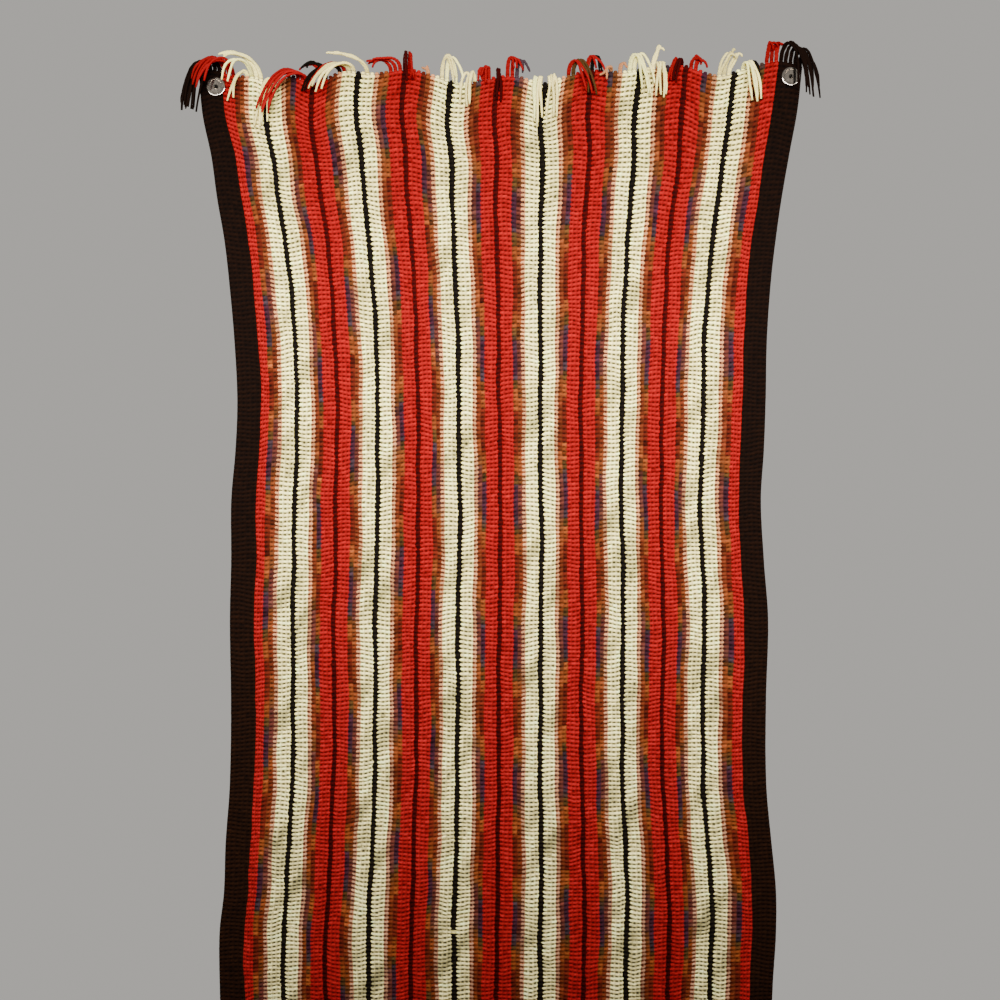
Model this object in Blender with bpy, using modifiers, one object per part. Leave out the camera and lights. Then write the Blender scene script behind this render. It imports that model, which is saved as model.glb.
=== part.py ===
"""Striped crochet afghan, hung by two round magnets at its top corners.

The cloth is worked lengthwise in 129 rows of afghan stitch, and its yarn ends are left as a
fringe at each end. Metres, +Z up. The front faces -Y, the wall is the plane y = 0, and the
origin lies on that plane at the middle of the cloth's top edge.
"""
import math
from collections import namedtuple

import bmesh
import bpy
from mathutils import Vector

COLLECTION_NAME = "crochet_afghan"

# Cloth
ROW_COUNT = 129
CLOTH_LENGTH = 1.708
CLOTH_THICKNESS = 0.004
WALL_GAP = 0.0006
PIECE_GAP = 0.0003
STATION_STEP_ABOVE = 0.10
STATION_STEP_BELOW = 0.05
FINE_STATIONS_FROM = 0.70
TOP_EDGE_FADE = 0.13
HEM_WAVE_HEIGHT = 0.004
HEM_WAVES = 2.5

# Relief across the cloth: the dark centre rows lie in a groove, and the cream stripes crown
GROOVE_DEPTH = 0.0014
CROWN_HEIGHT = 0.0010
CROWNED_STRIPE_ROWS = 4

# Depth of the drape
STAND_OFF = 0.006
STAND_OFF_START = 0.045
STAND_OFF_RUN = 0.30
PUCKER_PERIOD = 0.140
PUCKER_HEIGHT = 0.0028
PUCKER_START = 0.80
PUCKER_RUN = 0.55
PUCKER_SLANT_ROWS = 10.0
PUCKER_CREST = 1.283
PUCKER_CROWN_SHARE = 0.6

# Fringe
STRIP_HEIGHT = 0.004
ROOT_SHARE = 0.5
STRAND_THICKNESS = 0.0038
STRAND_TIP_SCALE = 0.85
ARCH_CONTROL = 1.33
SIDE_CONTROL = 0.8
LOCK_LAYER = 0.0050
TOP_LOCK_STEPS = 4
HEADING_STEP = 0.01
BOTTOM_LOCK_EVERY = 2
BOTTOM_LENGTH = 0.068
BOTTOM_LENGTH_VARIES = 0.007
BOTTOM_SWAY = 0.004
BOTTOM_LOCK_STEPS = 2
LENGTH_TURN = 1.7
SWAY_TURN = 0.9
LIFT_TURN = 1.3

# Magnets
MAGNET_RADIUS = 0.0155
MAGNET_THICKNESS = 0.005
MAGNET_BEVEL = 0.0008
MAGNET_HOLE_RADIUS = 0.0026
MAGNET_HOLE_DEPTH = 0.003
MAGNET_COUNTERSINK = 0.0014
MAGNET_STEPS = 32

Stripe = namedtuple("Stripe", "yarn rows")
Section = namedtuple("Section", "down left middle right")
EdgeRise = namedtuple("EdgeRise", "row rise")
Fold = namedtuple("Fold", "x down length width tilt_deg height")
Tuft = namedtuple("Tuft", "row locks rise lean drop front")
Magnet = namedtuple("Magnet", "node x z")

# Stripes from the left border to the right border
BORDER = [Stripe("brown", 5)]
EDGE_RED = [Stripe("red", 3)]
CREAM_BAND = [
    Stripe("variegated", 2),
    Stripe("cream", 4),
    Stripe("black", 1),
    Stripe("cream", 4),
    Stripe("variegated", 2),
]
RED_BAND = [Stripe("red", 3), Stripe("maroon", 1), Stripe("red", 3)]
STRIPES = BORDER + EDGE_RED + (CREAM_BAND + RED_BAND) * 5 + CREAM_BAND + EDGE_RED + BORDER

YARN_COLOURS = {
    "brown": (0.020, 0.008, 0.005),
    "red": (0.560, 0.022, 0.012),
    "variegated": (0.200, 0.070, 0.030),
    "cream": (0.700, 0.640, 0.500),
    "black": (0.012, 0.009, 0.008),
    "maroon": (0.090, 0.004, 0.005),
}
STEEL_COLOUR = (0.60, 0.60, 0.62)

# How far the left edge, the middle row and the right edge lie from the centre at each depth
SECTIONS = [
    Section(0.000, -0.501, -0.003, 0.503),
    Section(0.067, -0.495, -0.011, 0.495),
    Section(0.133, -0.480, -0.007, 0.481),
    Section(0.200, -0.470, -0.008, 0.468),
    Section(0.266, -0.458, -0.007, 0.458),
    Section(0.333, -0.450, -0.005, 0.450),
    Section(0.433, -0.441, -0.003, 0.443),
    Section(0.533, -0.436, -0.002, 0.441),
    Section(0.616, -0.439, -0.001, 0.438),
    Section(0.700, -0.446, 0.000, 0.433),
    Section(0.800, -0.446, 0.000, 0.438),
    Section(0.900, -0.448, -0.002, 0.445),
    Section(1.033, -0.446, -0.003, 0.441),
    Section(1.166, -0.448, -0.004, 0.441),
    Section(1.266, -0.455, -0.005, 0.450),
    Section(1.349, -0.458, -0.006, 0.458),
    Section(1.416, -0.465, -0.007, 0.458),
    Section(1.499, -0.465, -0.007, 0.453),
    Section(1.600, -0.461, -0.006, 0.450),
    Section(1.708, -0.466, -0.005, 0.456),
]

# Scallops of the top edge between the two magnets
TOP_EDGE = [
    EdgeRise(0, 0.012),
    EdgeRise(3, 0.016),
    EdgeRise(8, 0.005),
    EdgeRise(12, 0.002),
    EdgeRise(16, -0.008),
    EdgeRise(20, 0.004),
    EdgeRise(25, -0.009),
    EdgeRise(31, 0.011),
    EdgeRise(38, 0.008),
    EdgeRise(45, 0.015),
    EdgeRise(51, 0.004),
    EdgeRise(57, -0.009),
    EdgeRise(62, -0.001),
    EdgeRise(68, 0.004),
    EdgeRise(74, -0.008),
    EdgeRise(80, 0.006),
    EdgeRise(85, 0.013),
    EdgeRise(91, 0.011),
    EdgeRise(96, 0.016),
    EdgeRise(104, 0.021),
    EdgeRise(111, 0.005),
    EdgeRise(118, 0.019),
    EdgeRise(124, 0.030),
    EdgeRise(129, 0.022),
]

# Soft ridges of the drape. A tilt of 90 degrees runs up and down, and height is out of the wall
FOLDS = [
    Fold(-0.330, 0.16, 0.130, 0.030, 84, 0.0045),
    Fold(-0.175, 0.13, 0.120, 0.034, 88, 0.0050),
    Fold(-0.010, 0.15, 0.140, 0.036, 90, 0.0055),
    Fold(0.150, 0.12, 0.110, 0.032, 92, 0.0045),
    Fold(0.330, 0.15, 0.130, 0.032, 96, 0.0045),
    Fold(-0.250, 0.62, 0.240, 0.060, 97, 0.0035),
    Fold(0.240, 0.70, 0.260, 0.065, 84, 0.0040),
    Fold(-0.420, 0.95, 0.200, 0.035, 88, 0.0040),
    Fold(0.020, 1.02, 0.260, 0.075, 94, 0.0035),
    Fold(0.400, 1.22, 0.200, 0.045, 82, 0.0070),
    Fold(-0.390, 1.30, 0.130, 0.035, 72, 0.0060),
    Fold(-0.235, 1.42, 0.160, 0.045, 62, 0.0060),
    Fold(-0.060, 1.34, 0.120, 0.040, 66, 0.0055),
    Fold(0.110, 1.45, 0.150, 0.045, 112, 0.0065),
    Fold(0.270, 1.36, 0.140, 0.042, 108, 0.0055),
    Fold(-0.420, 1.60, 0.120, 0.050, 86, 0.0080),
    Fold(0.350, 1.62, 0.130, 0.055, 94, 0.0085),
]

# Tufts of yarn ends along the top. Each lock rises from its row, leans along the edge and
# falls. A drop below zero leaves the tip standing above the edge.
TUFTS = [
    Tuft(0, 1, 0.010, -0.030, 0.060, 0.000),
    Tuft(1, 4, 0.016, -0.036, 0.068, 0.006),
    Tuft(5, 3, 0.020, -0.048, 0.028, 0.0245),
    Tuft(10, 1, 0.010, -0.026, 0.044, 0.008),
    Tuft(11, 1, 0.020, -0.042, 0.014, 0.040),
    Tuft(12, 2, 0.026, -0.060, -0.034, 0.013),
    Tuft(15, 2, 0.008, -0.018, 0.074, 0.008),
    Tuft(21, 3, 0.014, -0.062, 0.056, 0.017),
    Tuft(26, 2, 0.022, -0.034, -0.018, 0.004),
    Tuft(30, 4, 0.011, -0.058, 0.038, 0.013),
    Tuft(36, 1, 0.014, -0.062, -0.020, 0.032),
    Tuft(41, 3, 0.014, -0.040, -0.008, 0.006),
    Tuft(44, 2, 0.026, 0.004, 0.026, 0.012),
    Tuft(49, 1, 0.008, -0.004, -0.006, 0.002),
    Tuft(52, 2, 0.034, 0.020, 0.008, 0.008),
    Tuft(58, 2, 0.016, -0.010, 0.036, 0.008),
    Tuft(61, 2, 0.018, -0.010, 0.004, 0.004),
    Tuft(64, 1, 0.014, 0.002, 0.044, 0.008),
    Tuft(66, 3, 0.024, 0.014, -0.006, 0.005),
    Tuft(72, 2, 0.010, -0.003, 0.070, 0.008),
    Tuft(75, 2, 0.010, 0.003, 0.060, 0.008),
    Tuft(79, 2, 0.022, 0.030, 0.036, 0.013),
    Tuft(83, 2, 0.022, 0.016, 0.004, 0.007),
    Tuft(88, 1, 0.005, -0.012, 0.012, 0.013),
    Tuft(90, 1, 0.012, 0.008, -0.005, 0.002),
    Tuft(92, 2, 0.026, 0.024, 0.036, 0.012),
    Tuft(97, 1, 0.012, 0.012, -0.030, 0.003),
    Tuft(98, 2, 0.006, 0.003, 0.052, 0.010),
    Tuft(102, 2, 0.010, -0.010, 0.030, 0.009),
    Tuft(105, 2, 0.012, 0.016, -0.004, 0.006),
    Tuft(111, 3, 0.008, 0.018, -0.032, 0.004),
    Tuft(116, 3, 0.010, 0.013, 0.060, 0.010),
    Tuft(121, 3, 0.024, 0.010, -0.020, 0.003),
    Tuft(124, 4, 0.028, 0.034, 0.056, 0.006),
    Tuft(128, 1, 0.020, 0.028, 0.048, 0.000),
]

MAGNETS = [
    Magnet("left_magnet", -0.4715, -0.0135),
    Magnet("right_magnet", 0.4830, 0.0035),
]


def clear_scene():
    """Remove every object of the open scene."""
    for obj in list(bpy.data.objects):
        bpy.data.objects.remove(obj, do_unlink=True)


def new_collection(name):
    """Make a collection under the scene's own."""
    collection = bpy.data.collections.new(name)
    bpy.context.scene.collection.children.link(collection)
    return collection


def new_material(name, colour, roughness, metallic=0.0):
    """Make a plain Principled material."""
    material = bpy.data.materials.new(name)
    material.use_nodes = True
    shader = material.node_tree.nodes["Principled BSDF"]
    shader.inputs["Base Color"].default_value = (*colour, 1.0)
    shader.inputs["Roughness"].default_value = roughness
    shader.inputs["Metallic"].default_value = metallic
    material.diffuse_color = (*colour, 1.0)
    return material


def new_object(name, bm, collection, materials):
    """Turn a bmesh into a named object in the collection."""
    mesh = bpy.data.meshes.new(name)
    bm.to_mesh(mesh)
    bm.free()
    obj = bpy.data.objects.new(name, mesh)
    collection.objects.link(obj)
    for material in materials:
        mesh.materials.append(material)
    return obj


def smoothstep(value):
    """Ease from 0 to 1."""
    value = min(max(value, 0.0), 1.0)
    return value * value * (3.0 - 2.0 * value)


def read_table(table, key, column, at):
    """Read a table between its rows, on a smooth curve through them."""
    keys = [getattr(row, key) for row in table]
    values = [getattr(row, column) for row in table]
    if at <= keys[0]:
        return values[0]
    if at >= keys[-1]:
        return values[-1]
    i = max(k for k in range(len(keys) - 1) if keys[k] <= at)
    before = max(i - 1, 0)
    after = min(i + 2, len(keys) - 1)
    span = keys[i + 1] - keys[i]
    t = (at - keys[i]) / span
    slope_in = (values[i + 1] - values[before]) / (keys[i + 1] - keys[before]) * span
    slope_out = (values[after] - values[i]) / (keys[after] - keys[i]) * span
    return (
        values[i] * (2 * t**3 - 3 * t**2 + 1)
        + slope_in * (t**3 - 2 * t**2 + t)
        + values[i + 1] * (3 * t**2 - 2 * t**3)
        + slope_out * (t**3 - t**2)
    )


def fold_depth(x, down):
    """How far the drape's ridges bring the cloth out of the wall."""
    depth = 0.0
    for fold in FOLDS:
        angle = math.radians(fold.tilt_deg)
        across = (x - fold.x) * math.sin(angle) + (down - fold.down) * math.cos(angle)
        along = (x - fold.x) * math.cos(angle) - (down - fold.down) * math.sin(angle)
        depth += fold.height * math.exp(-(across / fold.width) ** 2 - (along / fold.length) ** 2)
    return depth


def pucker_depth(row, down, crown):
    """Ripples of the cream stripes, which are longer than the dark rows between them."""
    grown = smoothstep((down - PUCKER_START) / PUCKER_RUN)
    turns = (down - PUCKER_CREST) / PUCKER_PERIOD + (row % PUCKER_SLANT_ROWS) / PUCKER_SLANT_ROWS
    share = 1.0 - PUCKER_CROWN_SHARE * (1.0 - crown)
    return PUCKER_HEIGHT * grown * share * (0.5 + 0.5 * math.cos(2.0 * math.pi * turns))


def cloth_x(row, down):
    """Place across the wall of a row at a depth."""
    share = row / ROW_COUNT
    left = read_table(SECTIONS, "down", "left", down)
    middle = read_table(SECTIONS, "down", "middle", down)
    right = read_table(SECTIONS, "down", "right", down)
    return (
        left * (1.0 - share) * (1.0 - 2.0 * share)
        + middle * 4.0 * share * (1.0 - share)
        + right * share * (2.0 * share - 1.0)
    )


def cloth_z(row, down):
    """Height of a row at a depth: scallops above, a slight wave at the hem."""
    scallop = read_table(TOP_EDGE, "row", "rise", row) * math.exp(-(down / TOP_EDGE_FADE) ** 2)
    hem_share = (down / CLOTH_LENGTH) ** 6
    hem = HEM_WAVE_HEIGHT * hem_share * math.sin(2.0 * math.pi * HEM_WAVES * row / ROW_COUNT)
    return scallop + hem - down


def cloth_point(row, down, relief=0.0):
    """Point in the middle of the cloth's thickness."""
    x = cloth_x(row, down)
    stand_off = STAND_OFF * smoothstep((down - STAND_OFF_START) / STAND_OFF_RUN)
    crown = max(relief, 0.0) / CROWN_HEIGHT
    out = WALL_GAP + CLOTH_THICKNESS / 2 + stand_off + relief * smoothstep(down / STAND_OFF_START)
    out += fold_depth(x, down) + pucker_depth(row, down, crown)
    return Vector((x, -out, cloth_z(row, down)))


def cloth_columns():
    """Rows where the sheet has points, with the relief there and the yarn to their right."""
    dark = ("black", "maroon")
    columns = []
    row = 0
    previous = None
    for stripe in STRIPES:
        in_groove = stripe.yarn in dark or previous in dark
        columns.append((row, -GROOVE_DEPTH if in_groove else 0.0, stripe.yarn))
        if stripe.rows == CROWNED_STRIPE_ROWS:
            columns.append((row + stripe.rows // 2, CROWN_HEIGHT, stripe.yarn))
        row += stripe.rows
        previous = stripe.yarn
    columns.append((row, 0.0, previous))
    return columns


def cloth_stations():
    """Depths where the sheet has points, closer together where it ripples."""
    above = round(FINE_STATIONS_FROM / STATION_STEP_ABOVE)
    below = round((CLOTH_LENGTH - FINE_STATIONS_FROM) / STATION_STEP_BELOW)
    upper = [STATION_STEP_ABOVE * i for i in range(above)]
    step = (CLOTH_LENGTH - FINE_STATIONS_FROM) / below
    return upper + [FINE_STATIONS_FROM + step * i for i in range(below + 1)]


def make_afghan(collection, materials):
    """The cloth: one sheet of stitches, thickened."""
    columns = cloth_columns()
    stations = cloth_stations()
    bm = bmesh.new()
    grid = []
    for down in stations:
        grid.append([bm.verts.new(cloth_point(row, down, relief)) for row, relief, _ in columns])
    yarns = list(YARN_COLOURS)
    for upper, lower in zip(grid, grid[1:]):
        for i in range(len(columns) - 1):
            face = bm.faces.new((lower[i], lower[i + 1], upper[i + 1], upper[i]))
            face.material_index = yarns.index(columns[i][2])
            face.smooth = True
    obj = new_object("afghan", bm, collection, [materials[yarn] for yarn in yarns])
    solidify = obj.modifiers.new("thickness", "SOLIDIFY")
    solidify.thickness = CLOTH_THICKNESS
    solidify.offset = 0.0
    return obj


def edge_point(row, down):
    """Point on the sheet's end, straight between its columns as the solid is."""
    rows = [column[0] for column in cloth_columns()]
    reliefs = [column[1] for column in cloth_columns()]
    i = min(max(k for k in range(len(rows)) if rows[k] <= row), len(rows) - 2)
    t = (row - rows[i]) / (rows[i + 1] - rows[i])
    start = cloth_point(rows[i], down, reliefs[i])
    end = cloth_point(rows[i + 1], down, reliefs[i + 1])
    return start.lerp(end, t)


def bezier(points, t):
    """Point on a cubic curve."""
    a, b, c, d = points
    return a * (1 - t) ** 3 + b * 3 * t * (1 - t) ** 2 + c * 3 * t**2 * (1 - t) + d * t**3


def tuft_locks():
    """Route of every lock of the top fringe, by the row it grows from."""
    routes = {}
    for tuft in TUFTS:
        for i in range(tuft.locks):
            order = i if tuft.lean < 0 else tuft.locks - 1 - i
            forward = Vector((0.0, -tuft.front - LOCK_LAYER * order, 0.0))
            base = edge_point(tuft.row + i + 0.5, 0.0) + Vector((0.0, 0.0, PIECE_GAP + STRIP_HEIGHT))
            arch = Vector((0.0, 0.0, tuft.rise * ARCH_CONTROL))
            side = Vector((tuft.lean, 0.0, 0.0))
            high = max(tuft.rise, -tuft.drop) * ARCH_CONTROL
            routes[tuft.row + i] = (
                base,
                base + forward + arch,
                base + forward + side * SIDE_CONTROL + Vector((0.0, 0.0, high)),
                base + forward + side + Vector((0.0, 0.0, -tuft.drop)),
            )
    return routes


def hanging_locks():
    """Route of every lock of the bottom fringe: plain ends that hang straight."""
    routes = {}
    for row in range(0, ROW_COUNT, BOTTOM_LOCK_EVERY):
        base = edge_point(row + 0.5, CLOTH_LENGTH) - Vector((0.0, 0.0, PIECE_GAP + STRIP_HEIGHT))
        length = BOTTOM_LENGTH + BOTTOM_LENGTH_VARIES * math.sin(row * LENGTH_TURN)
        sway = Vector((math.sin(row * SWAY_TURN), math.sin(row * LIFT_TURN), 0.0)) * BOTTOM_SWAY
        down = Vector((0.0, 0.0, -length))
        routes[row] = (base, base + down / 3, base + down * 2 / 3 + sway / 2, base + down + sway)
    return routes


def grow_lock(bm, face, route, steps):
    """Draw a root face out along its route as a square strand."""
    corners = [vert.co - route[0] for vert in face.verts]
    last_heading = face.normal.normalized()
    for step in range(1, steps + 1):
        t = step / steps
        centre = bezier(route, t)
        ahead = bezier(route, t + HEADING_STEP) - bezier(route, t - HEADING_STEP)
        heading = ahead.normalized()
        turn = last_heading.rotation_difference(heading)
        corners = [turn @ corner for corner in corners]
        last_heading = heading
        scale = 1.0 + (STRAND_TIP_SCALE - 1.0) * t
        face = bmesh.ops.extrude_discrete_faces(bm, faces=[face])["faces"][0]
        for vert, corner in zip(face.verts, corners):
            vert.co = centre + corner * scale


def make_fringe(name, down, routes, steps, collection, material):
    """A narrow strip along one end of the cloth, with the locks grown from its rows."""
    up = 1.0 if down == 0.0 else -1.0
    low = Vector((0.0, 0.0, up * PIECE_GAP))
    high = Vector((0.0, 0.0, up * (PIECE_GAP + STRIP_HEIGHT)))
    half = Vector((0.0, STRAND_THICKNESS / 2, 0.0))
    margin = (1.0 - ROOT_SHARE) / 2
    roots = {row + margin: row for row in routes}
    root_ends = [row + 1.0 - margin for row in routes]
    rows = sorted([column[0] for column in cloth_columns()] + list(roots) + root_ends)
    bm = bmesh.new()
    rings = []
    for row in rows:
        middle = edge_point(row, down)
        ends = (middle + low - half, middle + low + half, middle + high + half, middle + high - half)
        rings.append([bm.verts.new(end) for end in ends])
    root_faces = {}
    for row, ring, following in zip(rows, rings, rings[1:]):
        for side in range(4):
            ahead = (side + 1) % 4
            face = bm.faces.new((ring[side], ring[ahead], following[ahead], following[side]))
            if side == 2 and row in roots:
                root_faces[roots[row]] = face
    bm.faces.new(rings[0][::-1])
    bm.faces.new(rings[-1])
    bmesh.ops.recalc_face_normals(bm, faces=bm.faces)
    for row, face in root_faces.items():
        grow_lock(bm, face, routes[row], steps)
    bmesh.ops.recalc_face_normals(bm, faces=bm.faces)
    return new_object(name, bm, collection, [material])


def make_magnet(magnet, collection, material):
    """A round magnet with a countersunk dimple, turned about its own axis."""
    face = MAGNET_THICKNESS
    profile = [
        (0.0, face - MAGNET_HOLE_DEPTH),
        (MAGNET_HOLE_RADIUS, face - MAGNET_HOLE_DEPTH),
        (MAGNET_HOLE_RADIUS, face - MAGNET_COUNTERSINK),
        (MAGNET_HOLE_RADIUS + MAGNET_COUNTERSINK, face),
        (MAGNET_RADIUS - MAGNET_BEVEL, face),
        (MAGNET_RADIUS, face - MAGNET_BEVEL),
        (MAGNET_RADIUS, 0.0),
        (0.0, 0.0),
    ]
    bm = bmesh.new()
    verts = [bm.verts.new((radius, 0.0, height)) for radius, height in profile]
    for start, end in zip(verts, verts[1:]):
        bm.edges.new((start, end))
    obj = new_object(magnet.node, bm, collection, [material])
    screw = obj.modifiers.new("turned", "SCREW")
    screw.steps = MAGNET_STEPS
    screw.render_steps = MAGNET_STEPS
    screw.use_merge_vertices = True
    screw.merge_threshold = 0.00001
    obj.location = (magnet.x, -(WALL_GAP + CLOTH_THICKNESS + PIECE_GAP), magnet.z)
    obj.rotation_euler = (math.radians(90.0), 0.0, 0.0)
    return obj


def main():
    """Build the whole object."""
    clear_scene()
    collection = new_collection(COLLECTION_NAME)
    yarns = {yarn: new_material(yarn + "_yarn", colour, 0.9) for yarn, colour in YARN_COLOURS.items()}
    fringe_yarn = new_material("fringe_yarn", YARN_COLOURS["cream"], 0.9)
    hem_yarn = new_material("hem_fringe_yarn", YARN_COLOURS["red"], 0.9)
    make_afghan(collection, yarns)
    make_fringe("top_fringe", 0.0, tuft_locks(), TOP_LOCK_STEPS, collection, fringe_yarn)
    make_fringe("bottom_fringe", CLOTH_LENGTH, hanging_locks(), BOTTOM_LOCK_STEPS, collection, hem_yarn)
    for magnet in MAGNETS:
        steel = new_material(magnet.node + "_steel", STEEL_COLOUR, 0.3, metallic=1.0)
        make_magnet(magnet, collection, steel)


main()
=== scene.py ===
"""Looks of the striped crochet afghan: stitches, yarn ends, magnets, light and camera.

Metres, +Z up. The front of the cloth faces -Y, and it hangs on the plane y = 0.
"""
import math
from collections import namedtuple

import bpy
import numpy as np
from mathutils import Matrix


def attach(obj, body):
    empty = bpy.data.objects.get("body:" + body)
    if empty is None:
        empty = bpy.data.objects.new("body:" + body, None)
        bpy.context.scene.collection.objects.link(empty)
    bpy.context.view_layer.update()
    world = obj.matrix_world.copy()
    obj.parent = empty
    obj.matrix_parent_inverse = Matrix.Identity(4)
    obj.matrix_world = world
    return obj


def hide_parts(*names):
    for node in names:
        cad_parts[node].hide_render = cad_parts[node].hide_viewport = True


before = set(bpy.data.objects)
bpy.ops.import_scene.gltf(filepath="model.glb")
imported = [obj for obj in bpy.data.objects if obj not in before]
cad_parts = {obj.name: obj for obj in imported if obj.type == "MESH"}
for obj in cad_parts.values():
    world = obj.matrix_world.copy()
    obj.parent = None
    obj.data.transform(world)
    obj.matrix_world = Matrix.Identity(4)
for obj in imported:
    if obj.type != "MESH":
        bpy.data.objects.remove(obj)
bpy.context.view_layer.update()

# Cloth, as the solids have it
ROW_COUNT = 129
STITCH_COUNT = 240
CLOTH_LENGTH = 1.708
CLOTH_THICKNESS = 0.004
WALL_GAP = 0.0006
PIECE_GAP = 0.0003
TOP_EDGE_FADE = 0.13
HEM_WAVE_HEIGHT = 0.004
HEM_WAVES = 2.5
HEM_WAVE_POWER = 6
GROOVE_DEPTH = 0.0014
GROOVE_REACH_ROWS = 1.6
CROWN_HEIGHT = 0.0010
CROWN_REACH_ROWS = 0.5
STAND_OFF = 0.006
STAND_OFF_START = 0.045
STAND_OFF_RUN = 0.30
PUCKER_PERIOD = 0.140
PUCKER_HEIGHT = 0.0028
PUCKER_START = 0.80
PUCKER_RUN = 0.55
PUCKER_SLANT_ROWS = 10.0
PUCKER_CREST = 1.283
PUCKER_CROWN_SHARE = 0.6

# The red stripes' stitches stand up a little too, in the scene alone
RED_CROWN_HEIGHT = 0.0007

# Stitches hang looser at the top, where the cloth's weight draws them out
FIRST_PITCH = 0.00762
LAST_PITCH = CLOTH_LENGTH / STITCH_COUNT * 2 - FIRST_PITCH

# Points of one stitch: across its row, and along it from gap to gap, with their heights over
# the sheet in metres, a line for each place along
ACROSS = (0.0, 1 / 3, 2 / 3)
ALONG = (0.0, 0.23, 0.5, 0.77)
HEIGHTS = (
    (-0.0011, -0.0031, -0.0009),
    (-0.0001, -0.0003, 0.0004),
    (-0.0003, 0.0012, 0.0010),
    (-0.0002, -0.0002, 0.0000),
)
HOLE_COLUMN = 1
BAR_SLANT = 0.13
BACK_BUMP = 0.0010
# Heights in the stitch that the back's points and bumps count as, which paint shade on the back between its
# bumps
BACK_PILE = 0.2
BUMP_PILE = 0.9
EDGE_ROUNDING = 0.0014
HEIGHT_JITTER = 0.00022
HOLE_JITTER = 0.0004
PITCH_JITTER = 0.06
JOIN_JITTER = 0.035
RAGGED_JITTER = 0.10

# First rows of the mesh's panels, and the cloth's last row; a panel is a light piece
PANEL_ROWS = (0, 25, 54, 79, 104, 129)

# Yarn ends
YARN_RADIUS = 0.0022
# How high in a stitch the yarn ends count as for the painted shade, so they keep most of their colour
YARN_PILE = 0.85
TIP_TAPER = 0.35
TIP_TAPER_POWER = 6
SIDE_HINT = (0.3, 1.0, 0.1)
PLY_DEPTH = 0.16
PLY_TWIST = 0.011
YARN_SIDES = 8
END_TRIM = 0.04
END_REACH = 1.015
END_HALF_GAP = 0.0012
TIP_HALF_GAP = 0.0022
# Painted shade on the top fringe's ends, which hang in less light
TOP_END_PAINTED_SHADE = 0.78
END_TONE_JITTER = 0.06
END_SPREAD = (0.0022, 0.0006, 0.0026)
CURL_HEIGHT = 0.0016
CURL_TURNS = 1.5
CURL_SHARES = (1.0, 0.3, 1.0)
LOCK_LAYER = 0.0050
ARCH_CONTROL = 1.33
SIDE_CONTROL = 0.8
STRIP_HEIGHT = 0.004
TOP_RINGS = 24
BOTTOM_RINGS = 16
BOTTOM_LOCK_EVERY = 2
BOTTOM_LENGTH = 0.068
BOTTOM_LENGTH_VARIES = 0.007
BOTTOM_SWAY = 0.004
LENGTH_TURN = 1.7
SWAY_TURN = 0.9
LIFT_TURN = 1.3
KNOT_SIZE = (0.0036, 0.0026, 0.0028)
KNOT_RISE = 0.0008
KNOT_SIDES = 8
KNOT_BANDS = 4

MAGNET_RADIUS = 0.0155
MAGNET_THICKNESS = 0.005
MAGNET_HOLE_RADIUS = 0.0027

Stripe = namedtuple("Stripe", "yarn rows")
Section = namedtuple("Section", "down left middle right")
EdgeRise = namedtuple("EdgeRise", "row rise")
Fold = namedtuple("Fold", "x down length width tilt_deg height")
Tuft = namedtuple("Tuft", "row locks rise lean drop front")
Magnet = namedtuple("Magnet", "node x z")
Run = namedtuple("Run", "row down")
Drift = namedtuple("Drift", "down left left_middle middle right_middle right")
Wave = namedtuple("Wave", "rows stitches start height")
Light = namedtuple("Light", "name place aim size spread_deg energy colour")

BORDER = [Stripe("brown", 5)]
EDGE_RED = [Stripe("red", 3)]
CREAM_BAND = [
    Stripe("variegated", 2),
    Stripe("blush", 1),
    Stripe("cream", 3),
    Stripe("black", 1),
    Stripe("cream", 3),
    Stripe("blush", 1),
    Stripe("variegated", 2),
]
RED_BAND = [Stripe("red", 3), Stripe("maroon", 1), Stripe("red", 3)]
STRIPES = BORDER + EDGE_RED + (CREAM_BAND + RED_BAND) * 5 + CREAM_BAND + EDGE_RED + BORDER

SECTIONS = [
    Section(0.000, -0.501, -0.003, 0.503),
    Section(0.067, -0.495, -0.011, 0.495),
    Section(0.133, -0.480, -0.007, 0.481),
    Section(0.200, -0.470, -0.008, 0.468),
    Section(0.266, -0.458, -0.007, 0.458),
    Section(0.333, -0.450, -0.005, 0.450),
    Section(0.433, -0.441, -0.003, 0.443),
    Section(0.533, -0.436, -0.002, 0.441),
    Section(0.616, -0.439, -0.001, 0.438),
    Section(0.700, -0.446, 0.000, 0.433),
    Section(0.800, -0.446, 0.000, 0.438),
    Section(0.900, -0.448, -0.002, 0.445),
    Section(1.033, -0.446, -0.003, 0.441),
    Section(1.166, -0.448, -0.004, 0.441),
    Section(1.266, -0.455, -0.005, 0.450),
    Section(1.349, -0.458, -0.006, 0.458),
    Section(1.416, -0.465, -0.007, 0.458),
    Section(1.499, -0.465, -0.007, 0.453),
    Section(1.600, -0.461, -0.006, 0.450),
    Section(1.708, -0.466, -0.005, 0.456),
]

TOP_EDGE = [
    EdgeRise(0, 0.012),
    EdgeRise(3, 0.016),
    EdgeRise(8, 0.005),
    EdgeRise(12, 0.002),
    EdgeRise(16, -0.008),
    EdgeRise(20, 0.004),
    EdgeRise(25, -0.009),
    EdgeRise(31, 0.011),
    EdgeRise(38, 0.008),
    EdgeRise(45, 0.015),
    EdgeRise(51, 0.004),
    EdgeRise(57, -0.009),
    EdgeRise(62, -0.001),
    EdgeRise(68, 0.004),
    EdgeRise(74, -0.008),
    EdgeRise(80, 0.006),
    EdgeRise(85, 0.013),
    EdgeRise(91, 0.011),
    EdgeRise(96, 0.016),
    EdgeRise(104, 0.021),
    EdgeRise(111, 0.005),
    EdgeRise(118, 0.019),
    EdgeRise(124, 0.030),
    EdgeRise(129, 0.022),
]

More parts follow.
